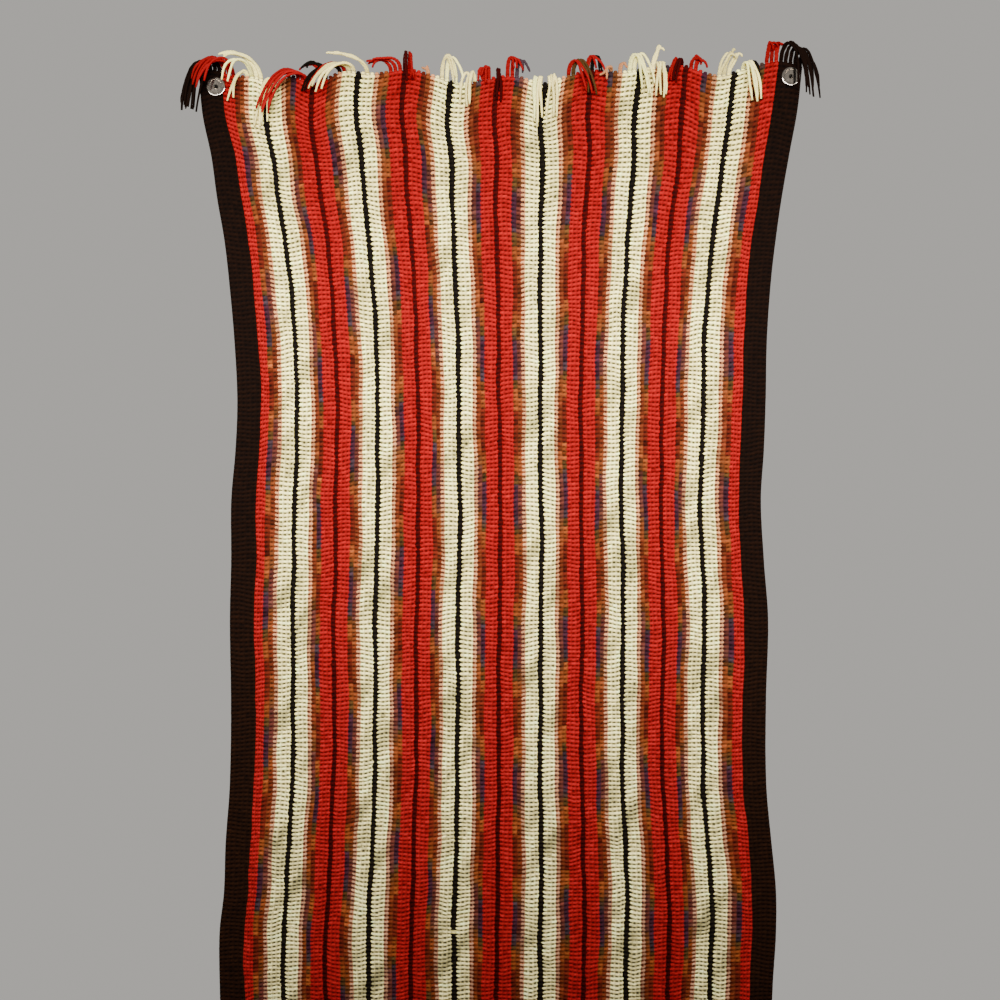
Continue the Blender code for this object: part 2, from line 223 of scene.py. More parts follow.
FOLDS = [
    Fold(-0.330, 0.16, 0.130, 0.030, 84, 0.0045),
    Fold(-0.175, 0.13, 0.120, 0.034, 88, 0.0050),
    Fold(-0.010, 0.15, 0.140, 0.036, 90, 0.0055),
    Fold(0.150, 0.12, 0.110, 0.032, 92, 0.0045),
    Fold(0.330, 0.15, 0.130, 0.032, 96, 0.0045),
    Fold(-0.250, 0.62, 0.240, 0.060, 97, 0.0035),
    Fold(0.240, 0.70, 0.260, 0.065, 84, 0.0040),
    Fold(-0.420, 0.95, 0.200, 0.035, 88, 0.0040),
    Fold(0.020, 1.02, 0.260, 0.075, 94, 0.0035),
    Fold(0.400, 1.22, 0.200, 0.045, 82, 0.0070),
    Fold(-0.390, 1.30, 0.130, 0.035, 72, 0.0060),
    Fold(-0.235, 1.42, 0.160, 0.045, 62, 0.0060),
    Fold(-0.060, 1.34, 0.120, 0.040, 66, 0.0055),
    Fold(0.110, 1.45, 0.150, 0.045, 112, 0.0065),
    Fold(0.270, 1.36, 0.140, 0.042, 108, 0.0055),
    Fold(-0.420, 1.60, 0.120, 0.050, 86, 0.0080),
    Fold(0.350, 1.62, 0.130, 0.055, 94, 0.0085),
]

TUFTS = [
    Tuft(0, 1, 0.010, -0.030, 0.060, 0.000),
    Tuft(1, 4, 0.016, -0.036, 0.068, 0.006),
    Tuft(5, 3, 0.020, -0.048, 0.028, 0.0245),
    Tuft(10, 1, 0.010, -0.026, 0.044, 0.008),
    Tuft(11, 1, 0.020, -0.042, 0.014, 0.040),
    Tuft(12, 2, 0.026, -0.060, -0.034, 0.013),
    Tuft(15, 2, 0.008, -0.018, 0.074, 0.008),
    Tuft(21, 3, 0.014, -0.062, 0.056, 0.017),
    Tuft(26, 2, 0.022, -0.034, -0.018, 0.004),
    Tuft(30, 4, 0.011, -0.058, 0.038, 0.013),
    Tuft(36, 1, 0.014, -0.062, -0.020, 0.032),
    Tuft(41, 3, 0.014, -0.040, -0.008, 0.006),
    Tuft(44, 2, 0.026, 0.004, 0.026, 0.012),
    Tuft(49, 1, 0.008, -0.004, -0.006, 0.002),
    Tuft(52, 2, 0.034, 0.020, 0.008, 0.008),
    Tuft(58, 2, 0.016, -0.010, 0.036, 0.008),
    Tuft(61, 2, 0.018, -0.010, 0.004, 0.004),
    Tuft(64, 1, 0.014, 0.002, 0.044, 0.008),
    Tuft(66, 3, 0.024, 0.014, -0.006, 0.005),
    Tuft(72, 2, 0.010, -0.003, 0.070, 0.008),
    Tuft(75, 2, 0.010, 0.003, 0.060, 0.008),
    Tuft(79, 2, 0.022, 0.030, 0.036, 0.013),
    Tuft(83, 2, 0.022, 0.016, 0.004, 0.007),
    Tuft(88, 1, 0.005, -0.012, 0.012, 0.013),
    Tuft(90, 1, 0.012, 0.008, -0.005, 0.002),
    Tuft(92, 2, 0.026, 0.024, 0.036, 0.012),
    Tuft(97, 1, 0.012, 0.012, -0.030, 0.003),
    Tuft(98, 2, 0.006, 0.003, 0.052, 0.010),
    Tuft(102, 2, 0.010, -0.010, 0.030, 0.009),
    Tuft(105, 2, 0.012, 0.016, -0.004, 0.006),
    Tuft(111, 3, 0.008, 0.018, -0.032, 0.004),
    Tuft(116, 3, 0.010, 0.013, 0.060, 0.010),
    Tuft(121, 3, 0.024, 0.010, -0.020, 0.003),
    Tuft(124, 4, 0.028, 0.034, 0.056, 0.006),
    Tuft(128, 1, 0.020, 0.028, 0.048, 0.000),
]

MAGNETS = [
    Magnet("left_magnet", -0.4715, -0.0135),
    Magnet("right_magnet", 0.4830, 0.0035),
]

# Yarn colours, linear, from 0 to 1
YARNS = {
    "brown": (0.0048, 0.0015, 0.0005),
    "red": (0.215, 0.0040, 0.0042),
    "blush": (0.42, 0.178, 0.076),
    "cream": (0.90, 0.77, 0.29),
    "black": (0.0046, 0.0031, 0.0018),
    "maroon": (0.034, 0.0008, 0.0007),
}
# The same at the hem, paler and less warm: painted light, making up for the light that falls off towards the
# hem
HEM_YARNS_WITH_PAINTED_LIGHT = {
    "brown": (0.0130, 0.0042, 0.0014),
    "red": (0.285, 0.0095, 0.0105),
    "blush": (0.385, 0.192, 0.112),
    "cream": (0.91, 0.79, 0.365),
    "black": (0.0090, 0.0062, 0.0036),
}
# Where the painted hem light begins to grow, and how far down it takes to grow in full
HEM_PAINTED_LIGHT_START = 0.50
HEM_PAINTED_LIGHT_RUN = 1.10
# The variegated yarn runs through these in turn, for the share of its repeat that each takes
VARIEGATED = [
    (0.20, (0.036, 0.0100, 0.0178)),
    (0.06, (0.035, 0.0200, 0.0255)),
    (0.07, (0.058, 0.0270, 0.0075)),
    (0.12, (0.175, 0.0400, 0.0095)),
    (0.32, (0.088, 0.0100, 0.0040)),
    (0.12, (0.175, 0.0400, 0.0095)),
    (0.07, (0.058, 0.0270, 0.0075)),
    (0.04, (0.035, 0.0200, 0.0255)),
]
VARIEGATED_STITCHES = 33.0
VARIEGATED_BLEND = 0.012
VARIEGATED_TURN_JITTER = 0.015
VARIEGATED_LEVEL = 0.80
# Painted light: the variegated yarn's level at the hem, lighter than at the top
VARIEGATED_HEM_PAINTED_LIGHT_LEVEL = 1.12
VARIEGATED_JITTER = 0.17
STITCH_JITTER = 0.11
# How much of a bar's colour is left in the gap beside it, under painted shade; pale yarn shows its painted
# shade most
PAINTED_GAP_SHADE_SHARES = {"cream": 0.17, "red": 0.70}
PAINTED_GAP_SHADE_SHARE = 0.80
# The gap's colour, painted shade and beside a blush row the variegated yarn's own colour, is a dot beside
# the join and closes towards the row's other side
GAP_ACROSS = (0.80, 1.0, 0.35)
# Beside a blush row the same yarn lies looser and shows more of its warm runs
LOOSE_TONE = (0.150, 0.035, 0.011)
LOOSE_SHARE = 0.45

# Where the middle of one violet run of each variegated row lies
VIOLET_RUNS = [
    Run(8, 0.636),
    Run(9, 0.598),
    Run(19, 0.433),
    Run(20, 0.494),
    Run(28, 0.608),
    Run(29, 0.623),
    Run(39, 0.574),
    Run(40, 0.566),
    Run(48, 0.635),
    Run(49, 0.427),
    Run(59, 0.433),
    Run(60, 0.456),
    Run(68, 0.461),
    Run(69, 0.463),
    Run(79, 0.448),
    Run(80, 0.442),
    Run(88, 0.467),
    Run(89, 0.447),
    Run(99, 0.438),
    Run(100, 0.464),
    Run(108, 0.474),
    Run(109, 0.437),
    Run(119, 0.445),
    Run(120, 0.455),
]

# Single cream stitches that cross a dark row
MENDS = [Run(54, 1.417)]
MEND_TONE = 0.80

# How far the line between two yarns moves to the right, in rows, at a gap and at a bar; the
# left edge of a dark row is straighter than its right one
JOIN_PUSHES = {
    ("black", "cream"): (0.55, 0.07),
    ("cream", "black"): (-0.24, -0.02),
    ("maroon", "red"): (0.14, 0.03),
    ("red", "maroon"): (-0.08, -0.02),
    ("blush", "variegated"): (-0.24, 0.12),
    ("variegated", "blush"): (0.24, -0.12),
    ("red", "variegated"): (-0.20, 0.04),
    ("variegated", "red"): (0.20, -0.04),
    ("cream", "blush"): (-0.05, 0.10),
    ("blush", "cream"): (0.05, -0.10),
}
RAGGED_YARNS = {"black", "maroon"}

# Ends of the top fringe whose yarn isn't the one of the row they hang from
END_YARNS = {
    10: "cream",
    27: "black",
    30: "brown",
    31: "red",
    49: "blush",
    58: "cream",
    59: "cream",
    79: "red",
    84: "black",
    88: "blush",
    98: "cream",
    99: "cream",
    103: "maroon",
    118: "black",
}

# Slow waves of the lines of stitches: length in rows and in stitches, start, and height in stitches
WAVER_EASE = 30.0
WAVERS = [
    Wave(11.0, 46.0, 0.10, 0.16),
    Wave(-17.0, 27.0, 0.45, 0.14),
    Wave(6.3, -19.0, 0.72, 0.10),
    Wave(31.0, 73.0, 0.30, 0.22),
]

# Slow waves of the rows: length in rows and in stitches, start, and height in rows
WANDER_EASE = 6.0
WANDERS = [
    Wave(23.0, 37.0, 0.20, 0.10),
    Wave(-9.0, 21.0, 0.65, 0.07),
    Wave(41.0, -13.0, 0.35, 0.05),
]

# Painted light and shade on the pale yarn, in bright and dim patches: length in rows and in stitches, start,
# and share of its tone
PAINTED_PATCH_TOP_SHARE = 0.6
PAINTED_PATCH_BRIGHTEST = 1.12
PAINTED_LIGHT_PATCHES = [
    Wave(13.0, 15.0, 0.20, 0.19),
    Wave(-22.0, 31.0, 0.62, 0.19),
    Wave(7.3, 9.2, 0.45, 0.17),
    Wave(57.0, 53.0, 0.10, 0.12),
]

# How far the rows lie to the right of an even spread, in rows, at five of them down the cloth
DRIFT_ROWS = (0, 14, 39, 64, 89, 114, 129)
DRIFTS = [
    Drift(0.00, 0.0, 0.0, 0.0, 0.0, 0.0),
    Drift(0.16, -0.35, -0.28, 0.19, 0.86, 0.32),
    Drift(0.28, 0.26, 0.07, 0.14, 0.66, -0.06),
    Drift(0.62, 0.45, 0.23, 0.07, -0.17, -0.78),
    Drift(1.00, 0.54, 0.27, 0.16, -0.03, -0.81),
    Drift(1.35, 0.56, 0.40, 0.29, 0.47, -0.45),
    Drift(CLOTH_LENGTH, 0.0, 0.0, 0.0, 0.0, 0.0),
]
# The brown borders are stretched and the red rows beside them narrow
BORDER_ROWS = (0, 5, 8, 10, 119, 121, 124, 129)
BORDER_DRIFT = (0.0, 0.8, -0.25, 0.0, 0.0, 0.25, -0.45, 0.0)
BORDER_EASE = 12.0

# Ripples: length in rows and in stitches, start, and height in metres
RIPPLE_START = 0.45
RIPPLE_RUN = 0.30
RIPPLE_FLOOR = 0.25
RIPPLES = [
    Wave(17.0, 7.1, 0.15, 0.00120),
    Wave(9.0, 11.3, 0.55, 0.00135),
    Wave(-29.0, 4.6, 0.80, 0.00055),
]

# View: level, square to the wall, at the middle of the picture
PIXEL = 0.0016656
PICTURE_PIXELS = 1000
TOP_EDGE_PIXEL = 80
VIEW_WIDTH = PICTURE_PIXELS * PIXEL
CAMERA_DISTANCE = 2.4
CAMERA_HEIGHT = -(PICTURE_PIXELS / 2 - TOP_EDGE_PIXEL) * PIXEL
SENSOR = 36.0
FLOOR_HEIGHT = -1.90
FLOOR_CORNERS = [(-2.4, -3.6), (2.4, -3.6), (2.4, 0.9), (-2.4, 0.9)]
LIGHTS = [
    Light("key", (0.0, -1.8, 0.10), (0.0, 0.0, -0.50), (3.0, 0.4), 66.0, 58.0, (1.0, 0.98, 0.95)),
    Light("back_fill", (-1.2, 2.2, 0.6), (0.0, 0.0, -0.9), (1.6, 1.6), 180.0, 150.0, (0.96, 0.98, 1.0)),
]

# Start of all random draws
SEED = 11


def smoothstep(value):
    """Ease from 0 to 1."""
    value = np.clip(value, 0.0, 1.0)
    return value * value * (3.0 - 2.0 * value)


def read_table(table, key, column, at):
    """Read a table between its rows, on a smooth curve through them."""
    keys = np.array([getattr(row, key) for row in table], float)
    values = np.array([getattr(row, column) for row in table], float)
    at = np.clip(at, keys[0], keys[-1])
    i = np.clip(np.searchsorted(keys, at, side="right") - 1, 0, len(keys) - 2)
    before = np.maximum(i - 1, 0)
    after = np.minimum(i + 2, len(keys) - 1)
    span = keys[i + 1] - keys[i]
    t = (at - keys[i]) / span
    slope_in = (values[i + 1] - values[before]) / (keys[i + 1] - keys[before]) * span
    slope_out = (values[after] - values[i]) / (keys[after] - keys[i]) * span
    return (
        values[i] * (2 * t**3 - 3 * t**2 + 1)
        + slope_in * (t**3 - 2 * t**2 + t)
        + values[i + 1] * (3 * t**2 - 2 * t**3)
        + slope_out * (t**3 - t**2)
    )


def row_yarns():
    """The yarn of every row, from the left border to the right border."""
    return [stripe.yarn for stripe in STRIPES for _ in range(stripe.rows)]


def band_relief(rows):
    """Grooves at the dark rows and crowns on the cream and red stripes, across the cloth."""
    relief = np.zeros_like(rows)
    start = 0
    bands = []
    for stripe in STRIPES:
        bands.append((stripe.yarn, start, start + stripe.rows))
        start += stripe.rows
    for yarn, first, last in bands:
        middle = (first + last) / 2
        if yarn in ("black", "maroon"):
            relief -= GROOVE_DEPTH * smoothstep(GROOVE_REACH_ROWS - np.abs(rows - middle))
        elif yarn in ("cream", "red"):
            height = CROWN_HEIGHT if yarn == "cream" else RED_CROWN_HEIGHT
            half = (last - first) / 2 + CROWN_REACH_ROWS
            relief += height * smoothstep(1.0 - np.abs(rows - middle) / half)
    return relief


def fold_depth(x, down):
    """How far the drape's ridges bring the cloth out of the wall."""
    depth = np.zeros_like(x)
    for fold in FOLDS:
        angle = math.radians(fold.tilt_deg)
        across = (x - fold.x) * math.sin(angle) + (down - fold.down) * math.cos(angle)
        along = (x - fold.x) * math.cos(angle) - (down - fold.down) * math.sin(angle)
        depth += fold.height * np.exp(-((across / fold.width) ** 2) - (along / fold.length) ** 2)
    return depth


def pucker_depth(rows, down, crown):
    """Ripples of the cream stripes, which are longer than the dark rows between them."""
    grown = smoothstep((down - PUCKER_START) / PUCKER_RUN)
    turns = (down - PUCKER_CREST) / PUCKER_PERIOD + (rows % PUCKER_SLANT_ROWS) / PUCKER_SLANT_ROWS
    share = 1.0 - PUCKER_CROWN_SHARE * (1.0 - crown)
    return PUCKER_HEIGHT * grown * share * (0.5 + 0.5 * np.cos(2.0 * math.pi * turns))


def cloth_points(rows, down):
    """Points in the middle of the cloth's thickness."""
    share = rows / ROW_COUNT
    left = read_table(SECTIONS, "down", "left", down)
    middle = read_table(SECTIONS, "down", "middle", down)
    right = read_table(SECTIONS, "down", "right", down)
    x = (
        left * (1.0 - share) * (1.0 - 2.0 * share)
        + middle * 4.0 * share * (1.0 - share)
        + right * share * (2.0 * share - 1.0)
    )
    scallop = read_table(TOP_EDGE, "row", "rise", rows) * np.exp(-((down / TOP_EDGE_FADE) ** 2))
    hem_share = (down / CLOTH_LENGTH) ** HEM_WAVE_POWER
    hem = HEM_WAVE_HEIGHT * hem_share * np.sin(2.0 * math.pi * HEM_WAVES * rows / ROW_COUNT)
    relief = band_relief(rows)
    crown = np.clip(relief, 0.0, None) / CROWN_HEIGHT
    out = WALL_GAP + CLOTH_THICKNESS / 2 + relief * smoothstep(down / STAND_OFF_START)
    out = out + STAND_OFF * smoothstep((down - STAND_OFF_START) / STAND_OFF_RUN)
    out = out + fold_depth(x, down) + pucker_depth(rows, down, crown)
    return np.stack([x, -out, scallop + hem - down], axis=-1)


def stitch_depth(stitch):
    """How far down the cloth a stitch lies, as its pitch shrinks from top to bottom."""
    return FIRST_PITCH * stitch + (LAST_PITCH - FIRST_PITCH) * stitch**2 / (2 * STITCH_COUNT)


def stitch_at_depth(down):
    """The stitch that lies at a depth, the other way round from stitch_depth."""
    bend = (LAST_PITCH - FIRST_PITCH) / (2 * STITCH_COUNT)
    return (math.sqrt(FIRST_PITCH**2 + 4 * bend * down) - FIRST_PITCH) / (2 * bend)


def variegated_colour(turn):
    """Colour of the variegated yarn at each turn of its repeat, with short blends between."""
    ends = np.cumsum([0.0] + [share for share, _ in VARIEGATED])
    keys = [(start + VARIEGATED_BLEND, end - VARIEGATED_BLEND) for start, end in zip(ends, ends[1:])]
    keys = np.concatenate(keys)
    colours = np.repeat([colour for _, colour in VARIEGATED], 2, axis=0)
    keys = np.concatenate([keys - 1, keys, keys + 1])
    wrapped = np.concatenate([colours, colours, colours])
    turn = (turn + VARIEGATED[0][0] / 2) % 1.0
    return np.stack([np.interp(turn, keys, wrapped[:, k]) for k in range(3)], axis=-1)


def painted_light_patch_tone(rows, stitches):
    """How bright the pale yarn is: painted light and shade in bright and dim patches, most near the hem."""
    tone = np.zeros(np.broadcast_shapes(rows.shape, stitches.shape))
    for wave in PAINTED_LIGHT_PATCHES:
        turn = rows / wave.rows + stitches / wave.stitches + wave.start
        tone = tone + wave.height * np.sin(2.0 * math.pi * turn)
    grown = PAINTED_PATCH_TOP_SHARE + (1.0 - PAINTED_PATCH_TOP_SHARE) * smoothstep(2.0 * stitches / STITCH_COUNT)
    return np.minimum(1.0 + tone * grown, PAINTED_PATCH_BRIGHTEST)


def stitch_colours(rng):
    """Colour of every stitch's bar and of the gap above it, by row and stitch; the gaps carry painted shade.
    """
    stitches = np.arange(STITCH_COUNT)
    # Share of the painted hem light, from none at the top to all at the hem
    low = smoothstep((stitch_depth(stitches) - HEM_PAINTED_LIGHT_START) / HEM_PAINTED_LIGHT_RUN)
    bars = np.zeros((ROW_COUNT, STITCH_COUNT, 3))
    yarns = row_yarns()
    for row, yarn in enumerate(yarns):
        if yarn != "variegated":
            top, hem = np.array(YARNS[yarn]), np.array(HEM_YARNS_WITH_PAINTED_LIGHT.get(yarn, YARNS[yarn]))
            bars[row] = top + (hem - top) * low[:, None]
        # Painted light and shade: bright and dim patches on the pale rows
        if yarn in ("cream", "blush"):
            bars[row] *= painted_light_patch_tone(np.array(row), stitches)[:, None]
    for run in VIOLET_RUNS:
        turn = (stitches - stitch_at_depth(run.down)) / VARIEGATED_STITCHES
        turn = turn + VARIEGATED_TURN_JITTER * rng.standard_normal(STITCH_COUNT)
        bars[run.row] = variegated_colour(turn)
        if "blush" in (yarns[run.row - 1], yarns[run.row + 1]):
            bars[run.row] += (np.array(LOOSE_TONE) - bars[run.row]) * LOOSE_SHARE
        # Painted light: the variegated rows grow lighter towards the hem
        level = VARIEGATED_LEVEL + (VARIEGATED_HEM_PAINTED_LIGHT_LEVEL - VARIEGATED_LEVEL) * low
        level = level + VARIEGATED_JITTER * rng.standard_normal(STITCH_COUNT)
        bars[run.row] *= level[:, None]
    for mend in MENDS:
        bars[mend.row, int(stitch_at_depth(mend.down))] = np.array(YARNS["cream"]) * MEND_TONE
    # Painted shade in the gaps: each gap takes its own bar's colour, or for a blush row the variegated
    # yarn's own colour beside it, darkened
    gaps = np.zeros_like(bars)
    for row, yarn in enumerate(yarns):
        source = row
        if yarn == "blush":
            source = row - 1 if yarns[row - 1] == "variegated" else row + 1
        gaps[row] = bars[source] * PAINTED_GAP_SHADE_SHARES.get(yarn, PAINTED_GAP_SHADE_SHARE)
    level = 1.0 + STITCH_JITTER * rng.standard_normal((ROW_COUNT, STITCH_COUNT, 1))
    return np.clip(bars * level, 0.0, 1.0), np.clip(gaps * level, 0.0, 1.0)


def stitch_waver(rows, stitches):
    """How the lines of stitches waver across the rows, in stitches."""
    waver = np.zeros(np.broadcast_shapes(rows.shape, stitches.shape))
    for wave in WAVERS:
        turn = rows / wave.rows + stitches / wave.stitches + wave.start
        waver = waver + wave.height * np.sin(2.0 * math.pi * turn)
    return waver


def row_wander(rows, stitches):
    """How the rows wander to the side along the cloth, in rows."""
    wander = np.zeros(np.broadcast_shapes(rows.shape, stitches.shape))
    for wave in WANDERS:
        turn = rows / wave.rows + stitches / wave.stitches + wave.start
        wander = wander + wave.height * np.sin(2.0 * math.pi * turn)
    return wander


def row_drift(rows, stitches):
    """How far the rows lie to the right of an even spread, in rows."""
    downs = stitch_depth(stitches)
    ends = np.minimum(downs, CLOTH_LENGTH - downs) / CLOTH_LENGTH
    drift = np.interp(rows, BORDER_ROWS, BORDER_DRIFT) * smoothstep(ends * BORDER_EASE)
    for column, name in enumerate(Drift._fields[1:], 1):
        near = np.arange(len(DRIFT_ROWS)) == column
        share = np.interp(rows, DRIFT_ROWS, near.astype(float))
        drift = drift + share * read_table(DRIFTS, "down", name, downs)
    return drift


def ripple_depth(rows, stitches):
    """Small slanting ripples of the cream stripes, which grow towards the hem."""
    grown = smoothstep((stitches / STITCH_COUNT - RIPPLE_START) / RIPPLE_RUN)
    cream = np.clip(band_relief(rows) / CROWN_HEIGHT, 0.0, 1.0)
    depth = np.zeros(np.broadcast_shapes(rows.shape, stitches.shape))
    for wave in RIPPLES:
        turn = rows / wave.rows + stitches / wave.stitches + wave.start
        depth = depth + wave.height * np.sin(2.0 * math.pi * turn)
    return depth * cream * (RIPPLE_FLOOR + (1.0 - RIPPLE_FLOOR) * grown)


def stitch_grid(rng):
    """Places of all the front's points and their height over the sheet, for the whole cloth."""
    columns = ROW_COUNT * len(ACROSS) + 1
    lines = STITCH_COUNT * len(ALONG) + 1
    row = np.minimum(np.arange(columns) // len(ACROSS), ROW_COUNT)
    across = np.array(ACROSS)[np.arange(columns) % len(ACROSS)]
    stitch = np.arange(lines) // len(ALONG)
    along = np.array(ALONG)[np.arange(lines) % len(ALONG)]
    at_join = across == 0.0
    line, column = np.arange(lines) % len(ALONG), np.arange(columns) % len(ACROSS)
    heights = np.array(HEIGHTS)[line[:, None], column[None, :]]
    at_hole = (column == HOLE_COLUMN)[None, :]
    cells = (STITCH_COUNT + 1, ROW_COUNT + 1)
    lift = rng.standard_normal(cells) * HEIGHT_JITTER
    hole = np.abs(rng.standard_normal(cells)) * HOLE_JITTER
    raised = (along > 0.0)[:, None]
    heights = heights + np.where(raised, lift[stitch][:, row], hole[stitch][:, row] * at_hole)
    shift = rng.standard_normal(cells) * PITCH_JITTER
    slant = BAR_SLANT * (across - 0.5) * ~at_join
    bar = raised & ~at_join[None, :]
    stitch_at = stitch[:, None] + along[:, None] + np.where(bar, slant[None, :] + shift[stitch][:, row], 0.0)
    waver = stitch_waver(row[None, :] + across[None, :], stitch[:, None] + along[:, None])
    ends = (stitch + along) / STITCH_COUNT
    stitch_at = stitch_at + waver * smoothstep(np.minimum(ends, 1.0 - ends) * WAVER_EASE)[:, None]
    yarns = row_yarns()
    push = np.zeros((lines, columns))
    bar_share = 1.0 - np.abs(along - 0.5) * 2.0
    for join in np.flatnonzero(at_join)[1:-1]:
        left, right = yarns[row[join] - 1], yarns[row[join]]
        at_gap, at_bar = JOIN_PUSHES.get((left, right), (0.0, 0.0))
        jitter = RAGGED_JITTER if {left, right} & RAGGED_YARNS else JOIN_JITTER
        push[:, join] = at_gap + (at_bar - at_gap) * bar_share + jitter * rng.standard_normal(lines)
    at_joins = push[:, :: len(ACROSS)]
    for index, share in enumerate(ACROSS):
        if index > 0:
            push[:, index :: len(ACROSS)] = at_joins[:, :-1] * (1.0 - share) + at_joins[:, 1:] * share
    row_at = np.broadcast_to((row + across)[None, :], push.shape) + push
    edge_ease = smoothstep(np.minimum(row_at, ROW_COUNT - row_at) / WANDER_EASE)
    even_rows, even_stitches = (row + across)[None, :], (stitch + along)[:, None]
    row_at = row_at + edge_ease * row_wander(even_rows, even_stitches) + row_drift(even_rows, even_stitches)
    return row_at, stitch_at, heights


def unit_normals(points):
    """Normals of a grid of points, towards the front."""
    down = np.gradient(points, axis=0)
    side = np.gradient(points, axis=1)
    normal = np.cross(side, down)
    normal *= -np.sign(normal[..., 1:2])
    return normal / np.linalg.norm(normal, axis=-1, keepdims=True)


def new_mesh(name, points, quads, triangles, material):
    """Make a mesh object from arrays of points, quads and triangles, shaded smooth."""
    mesh = bpy.data.meshes.new(name)
    counts = np.concatenate([np.full(len(quads), 4), np.full(len(triangles), 3)]).astype(np.int32)
    corners = np.concatenate([np.ravel(quads), np.ravel(triangles)]).astype(np.int32)
    mesh.vertices.add(len(points))
    mesh.vertices.foreach_set("co", np.asarray(points, np.float32).ravel())
    mesh.loops.add(len(corners))
    mesh.loops.foreach_set("vertex_index", corners)
    mesh.polygons.add(len(counts))
    starts = np.concatenate([[0], np.cumsum(counts)[:-1]]).astype(np.int32)
    mesh.polygons.foreach_set("loop_start", starts)
    mesh.polygons.foreach_set("use_smooth", np.ones(len(counts), bool))
    mesh.update(calc_edges=True)
    mesh.validate()
    mesh.materials.append(material)
    obj = bpy.data.objects.new(name, mesh)
    bpy.context.scene.collection.objects.link(obj)
    return obj


def set_tint(obj, colours):
    """Give each face its yarn's colour."""
    attribute = obj.data.attributes.new("tint", "FLOAT_COLOR", "FACE")
    rgba = np.ones((len(colours), 4), np.float32)
    rgba[:, :3] = colours
    attribute.data.foreach_set("color", rgba.ravel())


def set_pile(obj, values):
    """Give each point its height in the stitch, from 0 in a gap to 1 on a bar; the yarn material paints
    shade by it.
    """
    attribute = obj.data.attributes.new("pile", "FLOAT", "POINT")
    attribute.data.foreach_set("value", np.asarray(values, np.float32))


def make_panel(index, first, last, grid, colours, material):
    """One panel of rows: fine front, bumped back, closed all round."""
    front_points, back_points, bump_points, heights = grid
    a, b = first * len(ACROSS), last * len(ACROSS)
    front = front_points[:, a : b + 1]
    back = back_points[:, first : last + 1]
    bumps = bump_points[:, first:last]
    lines, columns = front.shape[:2]
    rows = last - first
    front_ids = np.arange(lines * columns).reshape(lines, columns)
    back_ids = front_ids.size + np.arange(back.shape[0] * back.shape[1]).reshape(back.shape[:2])
    bump_ids = front_ids.size + back_ids.size + np.arange(STITCH_COUNT * rows).reshape(STITCH_COUNT, rows)
    quads = np.stack(
        [front_ids[1:, :-1], front_ids[1:, 1:], front_ids[:-1, 1:], front_ids[:-1, :-1]], axis=-1
    ).reshape(-1, 4)
    row_of = first + np.arange(columns - 1) // len(ACROSS)
    stitch_of = np.arange(lines - 1) // len(ALONG)
    bars, gaps = colours
    # Faces beside a gap blend towards the gap's colour, which carries painted shade
    in_gap = np.isin(np.arange(lines - 1) % len(ALONG), (0, len(ALONG) - 1))
    open_share = in_gap[:, None] * np.array(GAP_ACROSS)[np.arange(columns - 1) % len(ACROSS)]
    quad_bars = bars[row_of[None, :], stitch_of[:, None]]
    quad_gaps = gaps[row_of[None, :], stitch_of[:, None]]
    quad_colours = (quad_bars + (quad_gaps - quad_bars) * open_share[..., None]).reshape(-1, 3)
    low_left, low_right = back_ids[1:, :-1], back_ids[1:, 1:]
    up_left, up_right = back_ids[:-1, :-1], back_ids[:-1, 1:]
    fans = [(up_left, up_right), (up_right, low_right), (low_right, low_left), (low_left, up_left)]
    triangles = [np.stack([bump_ids, start, end], axis=-1).reshape(-1, 3) for start, end in fans]
    cell_colours = bars[first:last].transpose(1, 0, 2).reshape(-1, 3)
    triangle_colours = [cell_colours] * 4

    def wall(fine, coarse, step, edge_colours, turned):
        """Close one side between the front's fine edge and the back's coarse one."""
        found, shades = [], []
        for i in range(len(coarse) - 1):
            run = fine[i * step : (i + 1) * step + 1]
            made = [(run[k], run[k + 1], coarse[i]) for k in range(step // 2)]
            made += [(run[step // 2], coarse[i + 1], coarse[i])]
            made += [(run[k], run[k + 1], coarse[i + 1]) for k in range(step // 2, step)]
            found += [t[::-1] if turned else t for t in made]
            shades += [edge_colours[i]] * len(made)
        triangles.append(np.array(found))
        triangle_colours.append(np.array(shades))

    wall(front_ids[:, 0], back_ids[:, 0], len(ALONG), bars[first], False)
    wall(front_ids[:, -1], back_ids[:, -1], len(ALONG), bars[last - 1], True)
    wall(front_ids[0], back_ids[0], len(ACROSS), bars[first:last, 0], True)
    wall(front_ids[-1], back_ids[-1], len(ACROSS), bars[first:last, -1], False)
    points = np.concatenate([front.reshape(-1, 3), back.reshape(-1, 3), bumps.reshape(-1, 3)])
    name = f"crochet_rows_{index + 1}"
    obj = new_mesh(name, points, quads, np.concatenate(triangles), material)
    set_tint(obj, np.concatenate([quad_colours, *triangle_colours]))
    # Heights for the painted shade: the front's from its stitch shape, the back's from BACK_PILE and
    # BUMP_PILE
    deepest, highest = np.min(HEIGHTS), np.max(HEIGHTS)
    pile = np.clip((heights[:, a : b + 1] - deepest) / (highest - deepest), 0.0, 1.0).ravel()
    back_pile = [np.full(back_ids.size, BACK_PILE), np.full(bump_ids.size, BUMP_PILE)]
    set_pile(obj, np.concatenate([pile, *back_pile]))
    return obj


